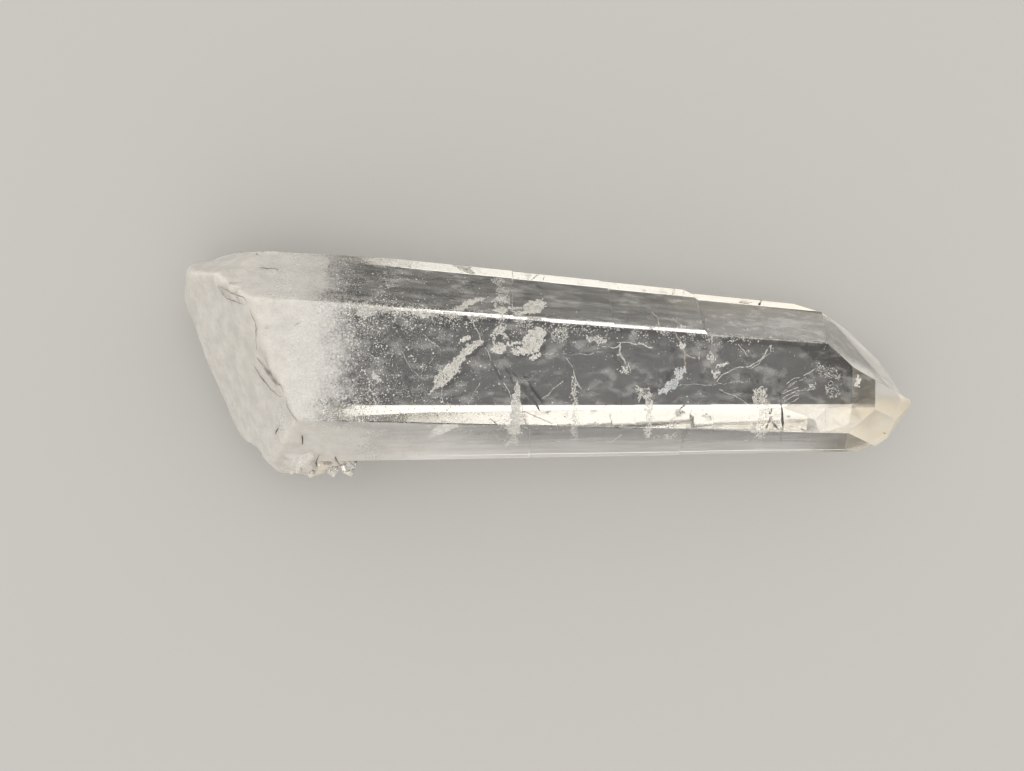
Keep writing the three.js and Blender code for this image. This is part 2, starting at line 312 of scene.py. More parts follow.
class Skin:
    """Where the crystal's surface is milky, dulled, painted as shaded or stained, each from 0 to 1.

    Places are in mm. The near side has y below 0, and the far side above.
    """

    def __init__(self, n):
        self.n = n
        self.at = at = millimetres(n)
        self.x, self.y, self.z = n.parts(at)
        facing = n.parts(n.add("ShaderNodeTexCoord").outputs["Normal"])
        self.lengthwise, self.sideways = (n.math("ABSOLUTE", facing[i]) for i in (0, 1))
        self.cloud = n.math("SUBTRACT", n.noise(at, 4.5, 4.0, 0.6), 0.5)
        self.streak = n.noise(n.stretched(at, 0.10, 0.9, 0.9), 1.0, 6.0, 0.65)
        self.wisp = n.noise(n.stretched(at, 0.35, 0.6, 0.6), 1.0, 5.0, 0.6)
        # The side faces, those of them that look up, the top face, and the point's facets
        self.flank = n.steps(self.sideways, 0.5, 0.7)
        self.upper = n.product(self.flank, n.steps(self.z, 10.2, 11.4))
        self.top = n.product(n.steps(self.sideways, 0.5, 0.4), n.steps(self.z, 11.0, 12.0))
        self.point = n.product(n.steps(self.lengthwise, 0.25, 0.35), n.steps(self.x, 30.0, 31.0))

    def milky(self):
        """1 at the base and 0 in the clear part, with a cloudy, speckled front between them."""
        n, y = self.n, self.y
        speck = n.math("SUBTRACT", n.noise(self.at, 0.32, 3.0, 0.7), 0.5)
        # How far the front is shifted on the side faces, low down and on the top face, in mm
        on_flank = n.sum(n.steps(y, 0.0, 4.0, 0.0, 3.0), n.steps(y, -8.0, -10.0, 0.0, -9.0))
        low_down = n.steps(self.z, 11.0, 8.0, 0.0, 12.0)
        on_top = n.product(n.steps(y, -4.0, -6.0), n.steps(self.sideways, 0.7, 0.5, 0.0, 3.0))
        front = n.sum(
            self.x,
            n.product(self.cloud, 11.0),
            n.product(speck, 13.0),
            n.sum(n.product(self.flank, on_flank), low_down, on_top),
        )
        return n.steps(front, *MILKY_FRONT, 1.0, 0.0)

    def dull_flanks(self):
        """Streaks of growth on the side faces that look up, stronger towards the point."""
        n, x, y = self.n, self.x, self.y
        far = n.sum(
            n.steps(self.streak, 0.35, 0.7, 0.03, 0.13),
            n.steps(self.wisp, 0.48, 0.7, 0.0, 0.18),
            n.steps(x, 10.0, 40.0, 0.0, 0.2),
        )
        near = n.sum(
            n.steps(self.streak, 0.3, 0.7, 0.10, 0.22),
            n.steps(x, -24.0, 0.0, 0.26, 0.0),
            n.product(n.steps(y, -9.2, -14.8, 0.0, 0.42), n.steps(x, 45.0, 38.0)),
        )
        far = n.product(n.steps(y, -1.0, 1.0), far)
        near = n.product(n.steps(y, 1.0, -1.0), near)
        return n.product(self.upper, n.sum(far, near))

    def dull_top(self):
        """Faint hazy patches on the top face, and a film at its end near the point."""
        n = self.n
        film = n.product(n.steps(self.x, 37.5, 43.5, 0.0, 0.42), n.steps(self.y, -6.1, -6.7))
        return n.product(n.sum(n.steps(self.wisp, 0.46, 0.72, 0.0, 0.17), film), self.top)

    def dull_point(self):
        """Etching on the point's facets, less on those that look aside, and their white rim."""
        n = self.n
        strong = n.steps(self.streak, 0.3, 0.7, 0.36, 0.50)
        weak = n.steps(self.streak, 0.35, 0.65, 0.06, 0.28)
        frost = n.steps(self.sideways, 0.5, 0.6, strong, weak)
        across = n.sum(n.product(self.x, RIM_ACROSS[0]), n.product(self.y, RIM_ACROSS[1]))
        rim = n.product(n.steps(across, *RIM_AT, 0.0, 0.34), n.steps(self.y, -6.0, -4.5))
        return n.product(self.point, n.sum(frost, rim))

    def shaded_facets(self):
        """The steepest of the point's lowest facets, where shade is painted."""
        n = self.n
        steep = n.product(n.steps(self.sideways, 0.2, 0.1), n.steps(self.lengthwise, 0.7, 0.75))
        return n.product(self.point, n.steps(self.z, 9.0, 8.0), steep, n.steps(self.y, -6.3, -5.9))

    def stained(self):
        """The point's near side, and the far edge beside it less strongly."""
        n = self.n
        blotch = n.steps(n.noise(self.at, 4.0, 4.0, 0.6), 0.3, 0.6, 0.5, 1.0)
        near = n.product(n.steps(self.x, 36.0, 47.0), blotch, n.steps(self.y, -3.5, -6.5))
        blotch = n.steps(n.noise(self.at, 3.0, 5.0, 0.65), 0.35, 0.65, 0.25, 0.8)
        far = n.product(n.steps(self.x, 8.0, 28.0), blotch, n.steps(self.y, 5.5, 9.5))
        return n.highest(near, far)

    def overgrown(self):
        """The overgrowth beside the base."""
        n = self.n
        away = n.stretched(n.vector("SUBTRACT", self.at, OVERGROWTH), 0.55, 1.0, 0.5)
        away = n.add("ShaderNodeVectorMath", {0: away}, operation="LENGTH").outputs["Value"]
        return n.steps(n.sum(away, n.product(self.cloud, 3.0)), *OVERGROWTH_SIZE)


def crystal_material():
    material, n = new_material("quartz_surface")
    skin = Skin(n)
    crust, stain, shaded_facets = skin.overgrown(), skin.stained(), skin.shaded_facets()
    milky = n.product(skin.milky(), n.without(n.product(crust, 0.25)))
    dull = n.highest(skin.dull_flanks(), skin.dull_top(), skin.dull_point())

    milk = n.mix(n.steps(n.noise(skin.at, 2.2, 5.0, 0.65), 0.3, 0.7), *MILKY)
    blotch = n.steps(n.noise(skin.at, 2.6, 3.0), 0.4, 0.6)
    milk = n.mix(n.product(crust, blotch), milk, STAINED)
    # Painted shade: the face the crystal rests on gets the near-black underside colour, which
    # darkens the floor seen through the clear quartz
    below = n.steps(skin.z, *RESTING, 1.0, 0.0)
    glass = n.mix(below, n.mix(stain, CLEAR, IRON_GLASS), UNDERSIDE_SHADE)
    colour = n.mix(dull, glass, n.mix(stain, DUST, IRON_DUST))
    # Painted shade: the point's lowest, steepest facets are darkened
    colour = n.mix(milky, n.mix(shaded_facets, colour, POINT_SHADE), milk)

    rough = n.steps(milky, 0.3, 1.0, POLISH, n.steps(crust, 0.0, 1.0, MATT, GLASSY))
    etched = n.product(skin.point, n.steps(skin.z, 8.0, 10.0, 0.7, 0.36), n.without(shaded_facets))

    ripple = n.noise(n.stretched(skin.at, 2.2, 0.12, 0.12), 1.0, 3.0, 0.5)
    grain = n.product(n.noise(skin.at, 0.5, 4.0, 0.6), milky)
    height = n.sum(n.product(ripple, RIPPLE), n.product(grain, GRAIN))
    bump = n.add("ShaderNodeBump", {"Height": height, "Strength": 1.0, "Distance": MM})

    outside = n.without(n.add("ShaderNodeNewGeometry").outputs["Backfacing"])
    solid = n.highest(milky, dull, n.product(shaded_facets, 0.55))
    solid = n.product(solid, n.sum(n.product(outside, 1 - FROM_WITHIN), FROM_WITHIN))
    shader = n.add("ShaderNodeBsdfPrincipled", {
        "Base Color": colour,
        "Roughness": n.highest(rough, etched),
        "IOR": IOR,
        "Transmission Weight": n.without(solid),
        "Subsurface Weight": n.product(milky, outside, 0.8),
        "Subsurface Radius": GLOW,
        "Subsurface Scale": GLOW_DEPTH * MM,
        "Normal": bump.outputs[0],
    })
    tint = n.add("ShaderNodeVolumeAbsorption", {"Color": TINT, "Density": TINT_DENSITY})
    n.output(shader, Volume=tint.outputs[0])
    return material


def plain_material(name, dark, light, scale, roughness, mirror):
    """A finish for what is inside the crystal, in patches of about scale mm of two colours."""
    material, n = new_material(name)
    shade = n.steps(n.noise(millimetres(n), scale, 4.0), 0.35, 0.65)
    n.output(n.add("ShaderNodeBsdfPrincipled", {
        "Base Color": n.mix(shade, dark, light),
        "Roughness": roughness,
        "Metallic": mirror,
    }))
    return material


# ---- The scene ---------------------------------------------------------------------------------

FLOOR_GAP = 0.03  # mm between the floor and the crystal
FLOOR_HALF = 2.0  # m, half the floor's side
FLOOR_COLOUR = (0.42, 0.417, 0.41, 1)
SIDE_LIGHT = (0.72, 0.695, 0.65, 1)
TOP_LIGHT = (1.0, 0.99, 0.975, 1)
TOP_FROM = (0.86, 0.95)  # the upward part of the direction in which the surround turns bright
BRIGHTNESS = 1.8
BOUNCES = 40


def make_floor():
    material, n = new_material("floor")
    n.output(n.add("ShaderNodeBsdfPrincipled", {"Base Color": FLOOR_COLOUR, "Roughness": 0.9}))
    mesh = bpy.data.meshes.new("floor")
    square = [(-1, -1), (1, -1), (1, 1), (-1, 1)]
    corners = [(x * FLOOR_HALF, y * FLOOR_HALF, -FLOOR_GAP * MM) for x, y in square]
    mesh.from_pydata(corners, [], [(0, 1, 2, 3)])
    mesh.materials.append(material)
    floor = bpy.data.objects.new("floor", mesh)
    bpy.context.scene.collection.objects.link(floor)


def make_lights():
    """An even studio surround, cream beside the crystal and brightest overhead."""
    world = bpy.data.worlds.new("studio")
    world.use_nodes = True
    n = Nodes(world.node_tree)
    up = n.parts(n.add("ShaderNodeTexCoord").outputs["Generated"])[2]
    shade = n.mix(n.steps(up, *TOP_FROM), SIDE_LIGHT, TOP_LIGHT)
    background = n.add("ShaderNodeBackground", {"Color": shade, "Strength": BRIGHTNESS})
    n.output(background, "ShaderNodeOutputWorld")
    scene = bpy.context.scene
    scene.world = world
    scene.view_settings.view_transform = "Standard"
    # Light guided along the crystal by its faces crosses them many times before it leaves.
    cycles = scene.cycles
    cycles.max_bounces = cycles.transmission_bounces = cycles.glossy_bounces = BOUNCES


# ---- The crystal's skin ------------------------------------------------------------------------

FLAT_ANGLE, FLAT_AREA = 0.12, 1.2  # degrees and square mm: a flat patch this large stays flat
FINE = 0.65  # mm, the longest edge where the skin is rough
MILKY_END = -34.0  # mm along x, up to where the flat faces are broken up as well
WEAR_START, WEAR_FADE = -34.5, 3.0  # mm along x: none from the first on, all this much before it
# The overgrowth isn't worn: y is below the first there, and x above the second. All in mm
GROWN_SIDE, GROWN_START, GROWN_FADE = -11.5, -36.5, 2.5
ROUNDS = 7  # how often the worn part is softened
WAVES, HOLLOWS, PITS = 0.18, 0.4, 0.5  # mm deep


def softened(points, faces, weight, rounds):
    """The points drawn towards their neighbours, as far as weight says."""
    _, table = edge_table(faces)
    count = np.bincount(table.reshape(-1), minlength=len(points))[:, None]
    for _ in range(rounds):
        total = np.zeros_like(points)
        np.add.at(total, table[:, 0], points[table[:, 1]])
        np.add.at(total, table[:, 1], points[table[:, 0]])
        points = points + (total / count - points) * weight[:, None]
    return points


def worn(points, faces, weight):
    """The points pressed inwards by low waves and small pits, as far as weight says."""
    normals, areas = face_normals(points, faces)
    outward = np.zeros_like(points)
    for i in range(3):
        np.add.at(outward, faces[:, i], normals * areas[:, None])
    outward /= np.maximum(np.linalg.norm(outward, axis=1), 1e-9)[:, None]
    depth = np.zeros(len(points))
    for i in np.flatnonzero(weight > 0):
        x, y, z = points[i]
        waves = WAVES * (fbm((x, y * 0.5, z * 0.5), 2.6, 4) + 0.25)
        hollows = HOLLOWS * max(fbm((y, z, x), 6.0, 3) - 0.2, 0)
        pits = PITS * max(fbm((z, x, y), 0.9, 2) - 0.5, 0)
        depth[i] = max(waves + hollows + pits, 0)
    return points - outward * (depth * weight)[:, None]


def make_surface(points, faces):
    """The skin that stands for the CAD mesh: worn at the base, but not on the overgrowth."""
    flat = flat_patches(points, faces, FLAT_ANGLE, FLAT_AREA)
    points, faces, flat = split_long_edges(points, faces, flat, FINE, MILKY_END)
    x, y, _ = points.T
    base = np.clip((WEAR_START - x) / WEAR_FADE, 0, 1)
    base *= np.clip(np.maximum(y - GROWN_SIDE, GROWN_START - x) / GROWN_FADE, 0, 1)
    low, high = points.min(axis=0), points.max(axis=0)
    points = softened(points, faces, 0.5 * base, ROUNDS)
    points = np.clip(worn(points, faces, base), low, high)
    smooth = ~flat | (points[faces, 0].min(axis=1) < MILKY_END)
    piece = make_piece("crystal_surface", points, faces, crystal_material(), smooth)
    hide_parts("crystal")


# ---- Flakes, threads and sheets inside the crystal ---------------------------------------------

TETRA = np.array([(1, 1, 1), (1, -1, -1), (-1, 1, -1), (-1, -1, 1)]) / math.sqrt(3)
TETRA_FACES = np.array([(0, 1, 2), (0, 3, 1), (0, 2, 3), (1, 3, 2)])
OFF_AXIS = (0.3, 0.2, 0.93)  # a direction in which no thread runs
THREAD_END, THREAD_WAVES = 0.12, 0.5  # shares of its radius: at its ends at least, and more or less
OVAL_STEP = 20  # degrees
MARGIN = 3  # pixels round an outline, because its ragged edge strays


class Inside:
    """Finds places inside the crystal."""

    def __init__(self, points, faces):
        self.tree = BVHTree.FromPolygons(points.tolist(), faces.tolist())

    def seen(self, px, py, depth):
        """The point depth mm below the face through which the camera sees it at (px, py)."""
        ray = Vector((px - IMAGE[0] / 2, IMAGE[1] / 2 - py, -FOCAL)).normalized()
        hit, normal, _, _ = self.tree.ray_cast(EYE, ray)
        if hit is None:
            return None
        across = (ray - normal * ray.dot(normal)) / IOR
        inward = across - normal * math.sqrt(1 - across.length_squared)
        return hit + inward * (depth / -inward.z)

    def depth(self, point):
        """How far inside the skin the point is, in mm. It is negative outside."""
        near, normal, _, _ = self.tree.find_nearest(Vector(point))
        return (near - Vector(point)).dot(normal)

    def kept_flakes(self, centres, sizes, margin, flatness, tilt=None):
        """Flakes at those of the centres that are more than margin mm inside the skin."""
        keep = np.array([self.depth(c) > margin for c in centres], bool)
        return flakes(np.array(centres)[keep], np.array(sizes)[keep], flatness, tilt)


def random_turns(count, tilt=None):
    """Any turns, or turns about the upright that lean out of level by about tilt radians."""
    q = rng.normal(size=(count, 4))
    if tilt is not None:
        q[:, 1:3] *= tilt / 2
        q[:, [0, 3]] /= np.linalg.norm(q[:, [0, 3]], axis=1)[:, None]
    w, x, y, z = (q / np.linalg.norm(q, axis=1)[:, None]).T
    rows = [
        1 - 2 * (y * y + z * z), 2 * (x * y - w * z), 2 * (x * z + w * y),
        2 * (x * y + w * z), 1 - 2 * (x * x + z * z), 2 * (y * z - w * x),
        2 * (x * z - w * y), 2 * (y * z + w * x), 1 - 2 * (x * x + y * y),
    ]
    return np.stack(rows, axis=-1).reshape(count, 3, 3)


def flakes(centres, sizes, flatness, tilt=None):
    """A small closed flake of each size at each centre, as points and faces. tilt is in radians."""
    count = len(centres)
    corners = np.einsum("nij,kj->nki", random_turns(count, tilt), TETRA * (1, 1, flatness))
    corners = corners * np.asarray(sizes)[:, None, None] + np.asarray(centres)[:, None]
    faces = TETRA_FACES + 4 * np.arange(count)[:, None, None]
    return corners.reshape(-1, 3), faces.reshape(-1, 3)


def along(pixels, depth, inside, step, waver):
    """Points inside the crystal along a line of pixels, one for every step pixels.

    waver is how far they stray from the line, in pixels.
    """
    pixels = np.array(pixels, float)
    runs = np.linalg.norm(np.diff(pixels, axis=0), axis=1)
    marks = np.concatenate([[0], np.cumsum(runs)])
    spots = np.linspace(0, marks[-1], max(3, int(marks[-1] / step)))
    made = []
    for x, y in zip(*(np.interp(spots, marks, pixels[:, i]) for i in (0, 1))):
        dx = waver * fbm((x, y, depth), 9.0)
        dy = waver * fbm((y, depth, x), 9.0)
        made.append(inside.seen(x + dx, y + dy, depth))
    return np.array(made)


def thread(path, radius):
    """A thin closed thread of three sides along the path, uneven and tapering to its ends."""
    run = np.gradient(path, axis=0)
    run /= np.linalg.norm(run, axis=1)[:, None]
    side = np.cross(run, OFF_AXIS)
    side /= np.linalg.norm(side, axis=1)[:, None]
    lift = np.cross(side, run)
    t = np.linspace(0, 1, len(path))
    width = radius * np.maximum(np.sin(math.pi * t) ** 0.5, THREAD_END)
    width = width * np.array([1 + THREAD_WAVES * fbm(p, 0.6) for p in path])
    rings = [
        path + (side * math.cos(a) + lift * math.sin(a)) * width[:, None]
        for a in (0, 2 * math.pi / 3, 4 * math.pi / 3)
    ]
    points = np.stack(rings, axis=1).reshape(-1, 3)
    faces = [(0, 2, 1), (len(points) - 3, len(points) - 2, len(points) - 1)]
    for i in range(len(path) - 1):
        for k in range(3):
            a, b = 3 * i + k, 3 * i + (k + 1) % 3
            faces += [(a, b, b + 3), (a, b + 3, a + 3)]
    return points, np.array(faces)


def threads(inside, rows):
    """Threads along rows of pixels, each row with its depth and radius in mm."""
    return joined([thread(along(p, d, inside, step=1.0, waver=0.8), r) for p, d, r in rows])


def trail(path, spread, count, size):
    """Flakes strung along a path, in a broken line."""
    at = rng.uniform(0, len(path) - 1.001, count)
    low = at.astype(int)
    centres = path[low] + (path[low + 1] - path[low]) * (at - low)[:, None]
    broken = np.array([fbm(c, 0.8, 3) for c in centres]) > rng.uniform(-0.9, 0.15, count)
    centres = centres + rng.normal(size=(count, 3)) * spread
    return flakes(centres[broken], rng.uniform(*size, broken.sum()), flatness=0.15, tilt=0.4)


def within(outline, x, y):
    """Whether the pixel lies in the outline."""
    result = False
    for (x0, y0), (x1, y1) in zip(outline, outline[1:] + outline[:1]):
        if (y0 > y) != (y1 > y) and x < x0 + (y - y0) / (y1 - y0) * (x1 - x0):
            result = not result
    return result


def oval(px, py, rx, ry, angle):
    """The outline of an oval of pixels, turned by angle, in degrees."""
    c, s = math.cos(math.radians(angle)), math.sin(math.radians(angle))
    outline = []
    for t in (math.radians(t) for t in range(0, 360, OVAL_STEP)):
        x, y = rx * math.cos(t), ry * math.sin(t)
        outline.append((px + x * c + y * s, py - x * s + y * c))
    return outline


def sheet(inside, outline, depth, density, fibre, size=(0.05, 0.10), ragged=1.5, thick=0.25):
    """Level flakes that fill an outline of pixels, depth mm below the face.

    density is in flakes for each square pixel. fibre is the angle of the grain in degrees, and its
    length and width in pixels. ragged is how far the outline strays, in pixels. The flakes' size
    and the sheet's thickness are in mm.
    """
    xs, ys = zip(*outline)
    low, high = (min(xs) - MARGIN, min(ys) - MARGIN), (max(xs) + MARGIN, max(ys) + MARGIN)
    angle, length, width = fibre
    turn = math.radians(angle)
    centres, sizes = [], []
    for _ in range(int(density * (high[0] - low[0]) * (high[1] - low[1]))):
        px, py = rng.uniform(low, high)
        dx, dy = (2 * ragged * fbm((px, py, k), 4.0, 4) for k in (2.0, 9.0))
        a = px * math.cos(turn) - py * math.sin(turn)
        b = px * math.sin(turn) + py * math.cos(turn)
        grain = fbm((a / length, b / width, 4.0), 1.0, 4)
        if not within(outline, px + dx, py + dy) or grain < rng.uniform(-0.9, 0.15):
            continue
        wave = 0.4 * fbm((px / 8, py / 8, 1.0), 1.0)
        spot = inside.seen(px, py, depth + wave + rng.normal() * thick * 0.5)
        if spot is not None:
            centres.append(spot)
            sizes.append(rng.uniform(*size))
    return flakes(centres, sizes, flatness=0.12, tilt=0.3)


def ovals(rows):
    """The rows with their ovals as outlines."""
    return [(oval(*place), *rest) for place, *rest in rows]


def sheets(inside, rows, *settings):
    """Sheets of flakes from rows of outline, depth, density and fibre, as in sheet."""
    return joined([sheet(inside, *row, *settings) for row in rows])


# ---- Where the flecks, sheets and cracks are, in pixels of the frame ---------------------------

# The snow in front of the milky base: where its columns and rows begin and end, how far it reaches
# on average, where it thins out and over how many columns, and the two bands where it gathers
SNOW_COUNT = 12000
SNOW_COLUMNS, SNOW_ROWS = (312, 660), (258, 450)
SNOW_REACH = 52
SNOW_DEPTHS = (0.3, 2.0, 16)  # mm: the least, how much more on average, and the most
SNOW_SIZES = (0.05, 0.035, 0.16)  # mm: the least, how much more on average, and at most
SNOW_THINNING = (340, 420)
UPPER_BAND = (420, 318, 0.09, 12)  # a column, its row, the band's slope and its width
LOWER_BAND = (396, 10)  # its row and its width

MOTE_COUNT = 500
MOTE_COLUMNS, MOTE_ROWS = (400, 880), (280, 450)
MOTE_DEPTHS = (0.4, 9.0)  # mm
MOTE_SIZES = (0.04, 0.03, 0.12)  # mm: the least, how much more on average, and at most

# The far upper edge, how far its flecks lie from it on average, and over what they thin out
FLECK_COUNT = 2600
FAR_EDGE = [(345, 303), (420, 309.5), (600, 325), (695, 332), (762, 337.5)]
FLECK_SPREAD, FLECK_REACH = 5.0, 480
FLECK_DEPTHS = (0.25, 0.5)  # mm: the least, and how much more on average
FLECK_SIZES = (0.06, 0.13)  # mm

# A healed crack, shaped like a feather
FEATHER = [
    (482.8, 341.2), (479.5, 339.5), (472.9, 340.3), (466.2, 346.1), (459.6, 354.4),
    (451.3, 362.7), (443, 369.4), (434.7, 376), (433, 381), (436.4, 384.3), (431.4, 389.3),
    (426.4, 394.2), (433, 391.5), (438, 387.6), (444.7, 384.3), (451.3, 377.6), (459.6, 371),
    (462.1, 362.7), (466.2, 356.1), (474.5, 351.1), (480.3, 346.1),
]
FEATHER_DEPTH, FEATHER_DENSITY, FEATHER_GRAIN = 17.5, 9.0, (45, 11.0, 0.8)

# Clouds: their outline, their depth in mm, how many flakes each square pixel has, and the angle,
# length and width of their grain, in degrees and pixels
CLOUDS = [
    ([(522.6, 339.5), (525.9, 334.5), (530.9, 330.4), (537.5, 327.1), (543.3, 328.7),
      (545.8, 336.2), (543.3, 344.5), (539.2, 349.4), (532.6, 354.4), (525.9, 356.1),
      (521, 354.4), (521.8, 347.8)], 13.5, 8.5, (50, 8.0, 3.0)),
    ([(492.8, 346.1), (502.7, 342.8), (505.2, 347.8), (503.5, 352.8), (496.1, 354.4),
      (491.1, 350.3)], 13.0, 6.0, (20, 4.0, 2.0)),
    ([(502.7, 344.5), (521, 341.2), (522.6, 343.6), (506, 347)], 13.0, 6.0, (10, 5.0, 1.5)),
    ([(510, 349.4), (521, 346.1), (522.6, 354.4), (513.3, 355.4)], 12.5, 5.0, (20, 3.0, 2.0)),
    ([(494.4, 326.2), (504.4, 324.6), (505.2, 332.8), (509.3, 339.5), (502.7, 339.5),
      (502.7, 334.5), (494.4, 334.5)], 14.0, 4.5, (60, 4.0, 1.5)),
    ([(492, 332), (494, 332), (495, 345), (493, 345)], 13.5, 5.0, (80, 6.0, 1.0)),
    ([(528, 359), (541, 351), (541, 354), (531, 361)], 9.0, 6.0, (40, 6.0, 1.0)),
    ([(712, 376), (713, 372), (716, 370.5), (719.5, 371.5), (719, 375), (715.5, 377)],
     4.5, 7.0, (25, 4.0, 2.0)),
    ([(717, 368), (720, 364.5), (728.5, 362), (728, 364), (721, 368)], 3.0, 8.0, (25, 5.0, 1.5)),
    ([(855.4, 386), (855.8, 379), (858.6, 374), (860.2, 376), (859.4, 386.5), (857, 387)],
     1.5, 10.0, (80, 3, 2)),
    ([(517.6, 382.6), (519.3, 389.3), (519.3, 399), (521, 415), (521.8, 424), (519.3, 429),
      (515, 432), (517, 441), (518, 445), (511, 443), (505, 446), (509, 436), (511, 428),
      (510.5, 412), (512.7, 397.5), (515.1, 387.6)], 5.0, 5.5, (92, 14.0, 1.3)),
]

# The same for ovals, each with its centre, its two radii and its angle for an outline
CLOUD_OVALS = [
    ((366, 313, 9, 5, 10), 0.7, 5.0, (10, 4.0, 2.0)),
    ((420, 313, 12, 3, -5), 0.7, 4.0, (-5, 5.0, 1.5)),
    ((465, 339, 5, 1.8, 35), 4.0, 7.0, (35, 5.0, 1.0)),
    ((376, 378, 6, 2.2, -40), 1.0, 6.0, (-40, 4.0, 1.0)),
    ((498, 281, 5, 6, 60), 3.0, 3.0, (60, 4.0, 1.5)),
    ((503, 296, 6, 9, 20), 4.0, 4.0, (40, 4.0, 2.0)),
    ((560, 335, 9, 8, 0), 1.5, 1.2, (0, 3.0, 2.0)),
    ((597, 340, 11, 3.5, -10), 1.2, 3.5, (-10, 6.0, 1.2)),
    ((682, 346, 3.0, 3.6, 0), 6.0, 7.0, (0, 3.0, 2.0)),
    ((712, 358, 4, 5, 20), 6.0, 3.0, (20, 3.0, 1.5)),
    ((759, 396, 10, 7, 60), 9.0, 3.0, (60, 6.0, 1.5)),
    ((757, 444, 5, 7, 60), 4.0, 1.5, (60, 6.0, 1.5)),
    ((828, 372, 14, 6, -25), 8.0, 0.9, (-25, 6.0, 1.5)),
    ((832, 390, 7, 9, 10), 8.0, 0.8, (60, 5.0, 1.5)),
    ((812, 388, 6, 3, 40), 6.0, 1.6, (45, 6.0, 1.0)),
    ((624, 371, 5, 3.5, 0), 8.0, 3.0, (30, 3.0, 1.0)),
    ((574.5, 396, 22, 2.6, 90), 5.0, 2.4, (90, 14.0, 1.2)),
    ((574.5, 432, 18, 3.4, 90), 4.0, 1.4, (90, 14.0, 1.5)),
    ((648.8, 408, 20, 3.4, 90), 6.0, 3.6, (90, 12.0, 1.2)),
    ((764, 412, 14, 5, 80), 6.0, 2.0, (80, 8.0, 1.5)),
    ((505, 422, 3, 14, 20), 3.0, 1.0, (70, 8.0, 1.2)),
    ((441, 441, 10, 5, 30), 3.0, 1.0, (30, 6.0, 1.0)),
    ((669, 437, 8, 3, 20), 3.0, 1.6, (20, 6.0, 1.0)),
]
VEILS = [
    ((679, 374, 5, 7, -30), 5.0, 6.0, (60, 3.0, 1.5)),
    ((672, 385, 8, 5, 30), 5.5, 6.0, (30, 4.0, 1.2)),
    ((663, 391, 6, 2.4, 10), 5.5, 6.0, (10, 4.0, 1.2)),
    ((364, 311, 5, 4, 0), 0.9, 5.0, (0, 3.0, 1.5)),
]
RUST_SPOTS = [
    ((884, 433, 1.7, 1.1, 10), 0.15, 30.0, (0, 3.0, 2.0)),
    ((878, 425.5, 1.0, 0.8, 10), 0.15, 26.0, (0, 3.0, 2.0)),
    ((893, 392, 0.9, 0.6, 10), 0.15, 20.0, (0, 3.0, 2.0)),
    ((859, 422.5, 1.2, 0.7, 10), 0.3, 16.0, (0, 3.0, 2.0)),
    ((276, 269, 4.0, 1.0, -12), 0.1, 10.0, (0, 3.0, 1.0)),
]

# Fine cracks: the pixels they pass, their depth, and how thick they look, both in mm
WHITE_CRACKS = [
    ([(542, 353.5), (566, 354.4), (589, 354.2), (602, 351.6)], 1.5, 0.03),
    ([(602, 346.5), (617, 347.2), (622.4, 342), (632.7, 342.7), (641.6, 344), (653, 346.5)],
     2.0, 0.07),
    ([(619.9, 345.9), (619.3, 350.4), (622.4, 355.5), (625, 361.2)], 2.2, 0.12),
    ([(628, 362), (630, 372)], 2.6, 0.05),
    ([(567.6, 358), (571.4, 365.7), (576.5, 379.7), (580.4, 388.6)], 3.0, 0.05),
    ([(563.8, 381.6), (553.6, 388.5), (548, 395), (542, 398.8)], 3.0, 0.05),
    ([(466.7, 313.6), (476.7, 330.4), (484.5, 347)], 2.0, 0.06),
    ([(485.5, 347.5), (492.5, 361), (500, 376)], 1.9, 0.04),
    ([(501.5, 379), (505.5, 386.5), (511.6, 397.4)], 1.9, 0.06),
    ([(717, 381.8), (722, 374.2), (731, 370.4), (740, 366.5), (748.9, 366.5), (757.8, 362),
      (761.6, 357.6), (768, 348.7), (771.8, 344.8)], 3.0, 0.07),
    ([(750, 369), (759, 364), (765, 355), (770.6, 352.5), (771.5, 345)], 3.6, 0.05),
    ([(738.7, 344.8), (742.5, 350), (747, 357.6)], 2.0, 0.05),
    ([(680, 384.4), (715, 384), (747.6, 381.8)], 1.2, 0.025),
    ([(719.5, 388.2), (743.8, 401), (759, 408.6), (780.8, 427)], 2.5, 0.05),
    ([(785.9, 384.4), (795, 379.5), (806, 374.5), (817.8, 368)], 4.0, 0.045),
    ([(787, 386), (796, 382), (806, 377)], 4.2, 0.03),
    ([(783, 391.5), (788, 387), (794, 383.5)], 4.0, 0.05),
    ([(782.5, 394), (789, 390), (797, 387)], 4.2, 0.06),
    ([(784, 398), (791, 393), (799, 390)], 4.5, 0.05),
    ([(785, 401.5), (792, 397), (799, 395)], 4.8, 0.06),
    ([(788, 404), (794, 400), (799, 398.5)], 5.0, 0.05),
    ([(796, 393), (802, 389.5), (807, 388)], 4.4, 0.03),
    ([(396, 343), (403, 353), (409, 366), (419, 376)], 3.0, 0.03),
    ([(421, 378), (424, 368), (430, 362), (433.9, 355.8)], 3.0, 0.03),
    ([(420.5, 330.4), (430, 341), (440.6, 347.8)], 3.0, 0.04),
    ([(440.6, 388), (442, 396), (443.9, 404)], 3.0, 0.03),
    ([(480.7, 381.3), (475, 391), (468.7, 402.7)], 3.0, 0.03),
    ([(710.6, 341), (713, 337), (715.7, 333.4)], 0.6, 0.08),
    ([(551, 443), (560, 441), (569, 444)], 3.0, 0.05),
    ([(606, 443.5), (614, 440.5), (621, 434.5)], 3.0, 0.07),
    ([(653, 438), (657, 434.5), (661, 437)], 3.0, 0.05),
    ([(664.5, 438.4), (671, 436), (677, 432)], 3.0, 0.06),
    ([(437, 448), (444, 444), (453, 438)], 3.0, 0.06),
    ([(458, 436), (453, 441), (452, 446)], 3.0, 0.05),
    ([(470, 441), (478, 446), (486, 450)], 3.0, 0.06),
    ([(629, 450), (634, 447), (638, 448)], 2.5, 0.05),
    ([(658, 448), (665, 446), (672, 448)], 2.5, 0.05),
    ([(739, 446), (743, 442), (747, 440)], 2.5, 0.04),
]
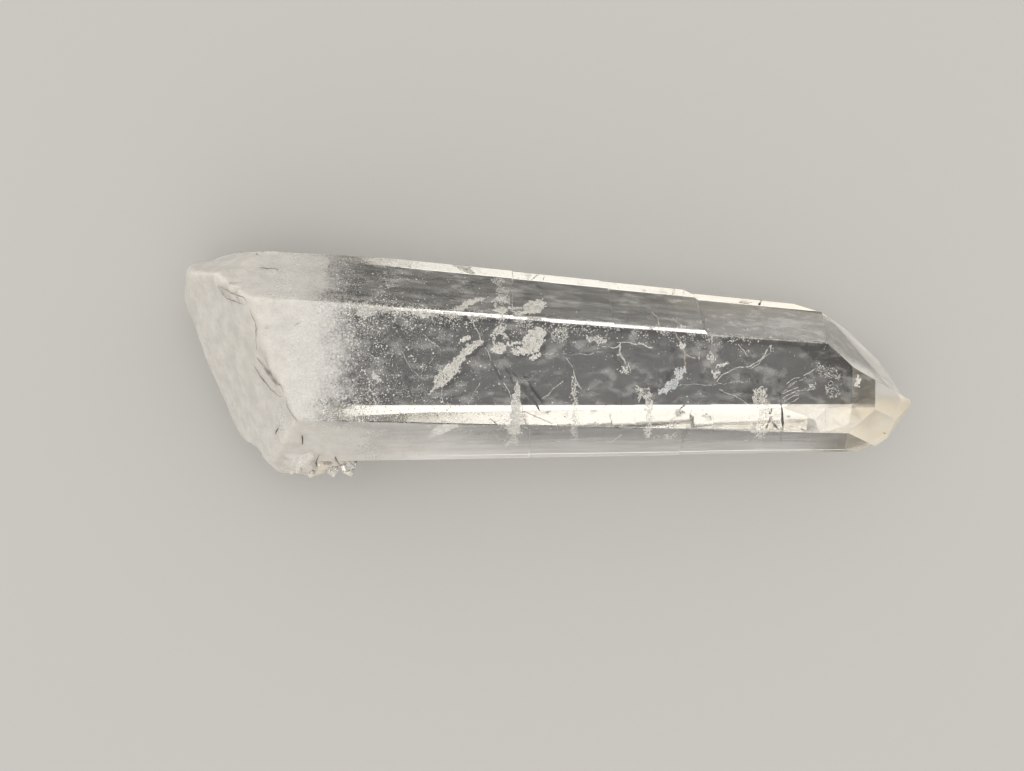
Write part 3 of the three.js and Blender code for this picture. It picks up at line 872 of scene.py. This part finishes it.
# Six more side by side, like a comb
COMB_ROWS = (389, 391.5, 394, 396.5, 399, 401.5)
COMB_END, COMB_BEND, COMB_START = 647.5, 641, 635.5
WHITE_CRACKS += [
    ([(COMB_END, y), (COMB_BEND, y - 1.2 - k), (COMB_START + k * 0.6, y - 4 + k * 1.1)], 5.0, 0.08)
    for k, y in enumerate(COMB_ROWS)
]
RUSTY_CRACKS = [
    ([(674.7, 328.7), (678.6, 338.9), (682.4, 346.5), (685, 354.2), (685, 372)], 6.0, 0.10),
    ([(686, 354), (690, 356.5), (695, 357)], 6.0, 0.05),
    ([(651.8, 312), (658.2, 318.5), (658.5, 325)], 1.2, 0.11),
    ([(752, 390), (760, 400), (768, 404)], 9.0, 0.09),
]
DARK_CRACKS = [
    ([(484.8, 346.5), (491.5, 361.2), (499, 376), (508, 392)], 2.0, 0.20),
    ([(512.8, 372), (519, 380.5), (525, 390), (533, 400), (540, 411)], 1.2, 0.30),
    ([(490, 425), (503, 438)], 2.0, 0.07),
    ([(514, 435), (520, 440), (527, 445)], 2.0, 0.12),
    ([(778, 373.5), (778.4, 376)], 1.2, 0.14),
    ([(779, 378), (780, 383.5)], 1.2, 0.19),
    ([(779.7, 388), (780.3, 397), (781.5, 406)], 1.2, 0.22),
    ([(781.7, 406), (782.5, 418), (783, 430.3)], 1.2, 0.22),
    ([(780.5, 432), (781, 443)], 1.2, 0.18),
    ([(800, 427.8), (805, 431)], 1.0, 0.10),
    ([(835, 421.5), (841, 426)], 0.8, 0.08),
    ([(799.9, 335.3), (807.6, 330.8)], 0.8, 0.045),
    ([(279, 428), (276.5, 431), (275.5, 434)], 0.02, 0.10),
    ([(302, 435), (303, 440), (302.5, 445)], 0.02, 0.09),
    ([(319, 454), (316.5, 461), (317.5, 468)], 0.02, 0.10),
    ([(311.5, 470), (315, 472)], 0.02, 0.09),
    ([(334, 455), (338, 462), (341, 466)], 0.02, 0.08),
]

# Painted shade: dark lines along the rims of the slivers on the break, and short cracks beside
# them, on the skin: pixels and radius
SLIVER_SHADE_LINES = [
    ([(256, 357.4), (263, 366), (273.3, 378.1), (281.1, 386.7), (283.7, 394)], 0.11),
    ([(263, 367.8), (269.9, 376.4), (276.8, 385)], 0.15),
    ([(283.7, 396), (280, 397), (271.6, 390.2), (261.3, 378.1), (254.4, 366)], 0.09),
    ([(284.5, 399), (289, 410), (297.4, 422)], 0.07),
    ([(247.5, 305.8), (255, 322), (257, 350.5)], 0.06),
    ([(217, 285.5), (226.8, 298.9), (245.8, 305)], 0.07),
    ([(218, 285), (232, 293.7), (243.5, 297), (247, 304)], 0.09),
    ([(259.5, 266.5), (268, 269), (274, 268.5), (278.5, 270.5)], 0.09),
    ([(293.5, 325.5), (297, 324), (299.5, 323)], 0.07),
]


# ---- The pieces inside the crystal -------------------------------------------------------------

# Two colours, the size of their patches in mm, the roughness, and how much it is a mirror, as open
# cracks are
FINISHES = {
    "milky_quartz": ((0.52, 0.505, 0.48, 1), (0.62, 0.605, 0.575, 1), 2.0, 0.6, 0.0),
    "inner_white": ((0.93, 0.92, 0.90, 1), (0.98, 0.975, 0.965, 1), 1.5, 0.32, 0.8),
    "inner_veil": ((0.80, 0.86, 0.95, 1), (0.93, 0.95, 0.98, 1), 1.5, 0.3, 0.4),
    "inner_iron": ((0.66, 0.52, 0.38, 1), (0.90, 0.82, 0.70, 1), 1.0, 0.45, 0.3),
    "rust_spot": ((0.30, 0.20, 0.11, 1), (0.52, 0.38, 0.22, 1), 0.6, 0.7, 0.0),
    "inner_crack": ((0.012, 0.010, 0.008, 1), (0.035, 0.03, 0.025, 1), 0.8, 0.5, 0.0),
    # Dark grey for the painted shade along the slivers' rims, and for the short cracks beside them
    "sliver_shade": ((0.17, 0.16, 0.145, 1), (0.34, 0.32, 0.29, 1), 1.2, 0.6, 0.0),
}

# The upper edges that have chips: how long they are at least, what share of that runs along x,
# how low they start along x, how high they reach, and the largest cosine between their faces
CHIPS = 60  # for each mm
CHIPPED_LENGTH, CHIPPED_SHARE = 2.0, 0.9  # mm, and a share
CHIPPED_START, CHIPPED_HEIGHT = -30, 14  # mm
CHIPPED_BEND = 0.94
CHIP_DEPTHS, CHIP_SCATTER = (0.09, 0.10), 0.02  # mm: the least and how much more on average
CHIP_SIZES = (0.03, 0.08)  # mm

MILK_CENTRE = Vector((-36.0, 0.6, 12.5))  # mm
MILK_SHARE, MILK_GAP = 0.97, 0.35  # how much of the way to the skin it fills, less so many mm
MILK_FRONT, MILK_WAVES = 1.5, 2.5  # mm ahead of the centre, more or less
MILK_LEAN, MILK_LEVEL = 0.25, 12  # so much further ahead for each mm above this height
MILK_LEAST = 0.2  # mm ahead of the centre
MILK_AHEAD = 4.0  # mm ahead of the centre, where the front's waves are read

# Flakes for each mm of a white crack, and in a whole rusty one, if it looks this thick in mm
WHITE_FLAKES, RUSTY_FLAKES, THIN = 26, 200, 0.05


def nicked_edges(inside, points, faces):
    """Fine chips just under the crystal's long upper edges."""
    least, mean = CHIP_DEPTHS
    normals, _ = face_normals(points, faces)
    index, table = edge_table(faces)
    made, sizes = [], []
    for e, pair in edge_owners(index).items():
        a, b = points[table[e]]
        run = b - a
        length = np.linalg.norm(run)
        lengthwise = length >= CHIPPED_LENGTH and abs(run[0]) >= CHIPPED_SHARE * length
        upper = min(a[0], b[0]) >= CHIPPED_START and max(a[2], b[2]) >= CHIPPED_HEIGHT
        bent = normals[pair[0]] @ normals[pair[-1]] <= CHIPPED_BEND
        if not (lengthwise and upper and bent):
            continue
        inward = -(normals[pair[0]] + normals[pair[-1]])
        inward /= np.linalg.norm(inward)
        for _ in range(int(CHIPS * length)):
            spot = a + run * rng.random()
            if fbm(spot, 1.6, 4) < rng.uniform(-0.7, 0.4):
                continue
            spot = spot + inward * (least + rng.exponential(mean))
            made.append(spot + rng.normal(size=3) * CHIP_SCATTER)
            sizes.append(rng.uniform(*CHIP_SIZES))
    return inside.kept_flakes(made, sizes, margin=0.03, flatness=0.35)


def random_size(least, mean, most):
    """A size that is at least least, larger by mean on average and by most at most."""
    return least + min(rng.exponential(mean), most)


def snow(inside):
    """Flecks that hang in front of the milky base, in clumps that thin out towards the point."""
    least, mean, most = SNOW_DEPTHS
    column, row, slope, width = UPPER_BAND
    made, sizes = [], []
    while len(made) < SNOW_COUNT:
        px = SNOW_COLUMNS[0] + rng.exponential(SNOW_REACH)
        py = rng.uniform(*SNOW_ROWS)
        depth = least + rng.exponential(mean)
        if px > SNOW_COLUMNS[1] or depth > most:
            continue
        clump = fbm((px, py * 1.2, depth * 3), 13.0, 5) + 0.35 * fbm((px, py, depth * 8), 3.0, 3)
        band = 0.35 * math.exp(-abs(py - row - (px - column) * slope) / width)
        band += 0.2 * math.exp(-abs(py - LOWER_BAND[0]) / LOWER_BAND[1])
        spot = inside.seen(px, py, depth)
        thinning = (px - SNOW_THINNING[0]) / SNOW_THINNING[1]
        if spot is None or clump + band < rng.uniform(-0.3, 0.3) + thinning:
            continue
        made.append(spot)
        sizes.append(random_size(*SNOW_SIZES))
    return inside.kept_flakes(made, sizes, margin=0.2, flatness=0.2, tilt=0.5)


def motes(inside):
    """Single flecks all through the clear part."""
    made, sizes = [], []
    while len(made) < MOTE_COUNT:
        px, py, depth = (rng.uniform(*span) for span in (MOTE_COLUMNS, MOTE_ROWS, MOTE_DEPTHS))
        spot = inside.seen(px, py, depth)
        if spot is not None:
            made.append(spot)
            sizes.append(random_size(*MOTE_SIZES))
    return inside.kept_flakes(made, sizes, margin=0.2, flatness=0.3, tilt=0.5)


def edge_flecks(inside):
    """Flecks close under the surface beside the far upper edge, in clumps."""
    least, mean = FLECK_DEPTHS
    columns, rows = np.array(FAR_EDGE, float).T
    made, sizes = [], []
    while len(made) < FLECK_COUNT:
        x = rng.uniform(columns[0], columns[-1])
        y = np.interp(x, columns, rows) + rng.exponential(FLECK_SPREAD)
        thinning = (x - columns[0]) / FLECK_REACH
        if fbm((x, y, 3.0), 9.0, 4) < rng.uniform(-0.4, 0.5) or rng.random() < thinning:
            continue
        made.append(inside.seen(x, y, least + rng.exponential(mean)))
        sizes.append(rng.uniform(*FLECK_SIZES))
    return flakes(made, sizes, flatness=0.2, tilt=0.5)


def milk_body(inside):
    """The solid milky mass in the base: a closed, lumpy body that ends in a ragged front."""
    bm = bmesh.new()
    bmesh.ops.create_icosphere(bm, subdivisions=7, radius=1.0)
    points = []
    for v in bm.verts:
        ray = v.co.normalized()
        _, _, _, reach = inside.tree.ray_cast(MILK_CENTRE, ray)
        reach = reach * MILK_SHARE - MILK_GAP
        if ray.x > 0.05:
            at = MILK_CENTRE + ray * min(MILK_AHEAD / ray.x, reach)
            front = MILK_FRONT + MILK_WAVES * fbm(at, 5.0, 5) + MILK_LEAN * (at.z - MILK_LEVEL)
            reach = min(reach, max(front, MILK_LEAST) / ray.x)
        points.append(MILK_CENTRE + ray * reach)
    faces = np.array([[v.index for v in f.verts] for f in bm.faces])
    bm.free()
    return np.array(points), faces


def feather(inside):
    return sheet(
        inside, FEATHER, FEATHER_DEPTH, FEATHER_DENSITY, FEATHER_GRAIN,
        size=(0.04, 0.09), ragged=1.3, thick=0.3,
    )


def white_cracks(inside):
    """Broken lines of flakes, with more and larger flakes where they look thicker."""
    trails = []
    for pixels, depth, thick in WHITE_CRACKS:
        path = along(pixels, depth, inside, step=1.2, waver=1.6)
        length = np.linalg.norm(np.diff(path, axis=0), axis=1).sum()
        count = int(WHITE_FLAKES * length * (0.4 + thick / THIN))
        trails.append(trail(path, thick * 0.45, count, (0.03, 0.05 + thick * 0.5)))
    return joined(trails)


def rusty_cracks(inside):
    trails = []
    for pixels, depth, thick in RUSTY_CRACKS:
        path = along(pixels, depth, inside, step=1.2, waver=1.2)
        trails.append(trail(path, thick * 0.5, int(RUSTY_FLAKES * thick / THIN), (0.03, 0.08)))
    return joined(trails)


def make_inside(inside, points, faces):
    """All that is inside. The order of the pieces is also the order of the random draws."""
    milk, white, blue, iron, rust, dark, shade = (
        plain_material(name, *row) for name, row in FINISHES.items()
    )
    make_piece("milky_mass", *milk_body(inside), milk, True)
    make_piece("snow", *snow(inside), white)
    make_piece("motes", *motes(inside), white)
    make_piece("nicked_edges", *nicked_edges(inside, points, faces), white)
    make_piece("edge_flecks", *edge_flecks(inside), white)
    make_piece("feather", *feather(inside), white)
    make_piece("clouds", *sheets(inside, CLOUDS + ovals(CLOUD_OVALS)), white)
    make_piece("veils", *sheets(inside, ovals(VEILS)), blue)
    make_piece("rust_spots", *sheets(inside, ovals(RUST_SPOTS), (0.02, 0.05), 0.3, 0.05), rust)
    make_piece("white_cracks", *white_cracks(inside), white)
    make_piece("rusty_cracks", *rusty_cracks(inside), iron)
    make_piece("dark_cracks", *threads(inside, DARK_CRACKS), dark)
    # Painted shade along the slivers' rims, and short cracks beside them
    make_piece("sliver_shade_lines", *threads(inside, [(p, 0.0, r) for p, r in SLIVER_SHADE_LINES]), shade)


make_camera()
make_floor()
make_lights()
SKIN = welded(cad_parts["crystal"].data)
make_surface(*SKIN)
make_inside(Inside(*SKIN), *SKIN)
